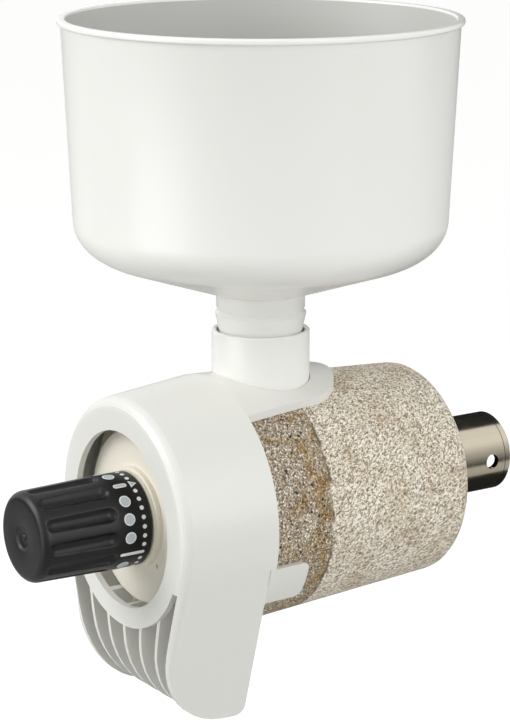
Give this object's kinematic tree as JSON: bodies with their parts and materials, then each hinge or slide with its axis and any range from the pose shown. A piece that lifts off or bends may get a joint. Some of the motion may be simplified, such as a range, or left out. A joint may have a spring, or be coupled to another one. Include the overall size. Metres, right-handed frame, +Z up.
{
  "type": "stone grain mill attachment",
  "caption": "Motor-driven stone grain mill: round hopper on a feed tube, two millstones in a ribbed outlet hood, fineness knob in front, coupling sleeve behind",
  "frame": {"origin": "on the mill axis, in the plane of the stone body's rear face, where the coupling sleeve comes out", "axes": "+Z up through the feed tube and the hopper, +Y along the mill axis out of the coupling sleeve, -Y towards the setting knob, +X to the side with the lock hole"},
  "size_m": [0.1524, 0.218, 0.262],
  "materials": {
    "white_plastic": "moulded, glossy white",
    "cream_plastic": "moulded, satin cream",
    "black_plastic": "moulded, satin black with light marks",
    "light_stone": "cast stone of light grains",
    "dark_stone": "cast stone of dark and ochre grains",
    "steel": "turned, warm nickel",
    "spring_steel": "hardened, oiled",
    "bronze": "sintered bearing bronze",
    "brass": "turned brass",
    "seal_rubber": "moulded rubber",
    "felt": "pressed felt"
  },
  "bodies": {
    "mill_body": {"stone_body": "light_stone", "fixed_stone": "dark_stone", "coupling_sleeve": "steel", "rear_bush": "bronze", "shaft_seal": "seal_rubber", "inner_bush": "bronze", "pressure_spring": "spring_steel", "chamber_washer": "felt", "front_cover": "cream_plastic", "cover_screws": "steel", "adjusting_bush": "cream_plastic", "knob_ring": "seal_rubber", "outlet_hood": "white_plastic", "feed_tube": "white_plastic"},
    "thrust": {"thrust_ball": "spring_steel"},
    "rotor": {"drive_shaft": "steel", "shaft_circlip": "spring_steel", "auger": "steel", "auger_pin": "steel", "rotor_carrier": "steel", "rotor_stone": "dark_stone", "rotor_screws": "steel", "rotor_nut": "steel"},
    "adjuster": {"adjusting_spindle": "steel", "knob_insert": "brass", "knob": "black_plastic"},
    "hopper": {"hopper": "white_plastic"}
  },
  "joints": [
    {"name": "gap_travel", "type": "slide", "parent": "mill_body", "child": "thrust", "axis": [0, -1, 0], "range_m": [-0.00017, 0.00083], "deforming": ["pressure_spring"]},
    {"name": "knob_turn", "type": "hinge", "parent": "thrust", "child": "adjuster", "pos_m": [0, -0.135, 0], "axis": [0, -1, 0], "range_deg": [-60.2, 300.2]},
    {"name": "drive_spin", "type": "hinge", "parent": "thrust", "child": "rotor", "pos_m": [0, -0.1, 0], "axis": [0, 1, 0], "continuous": true},
    {"name": "hopper_lift", "type": "slide", "parent": "mill_body", "child": "hopper", "axis": [0, 0, 1], "range_m": [0, 0.06]}
  ],
  "couplings": [
    {"joint": "knob_turn", "follows": "gap_travel", "rad_per_m": 6283.2}
  ]
}
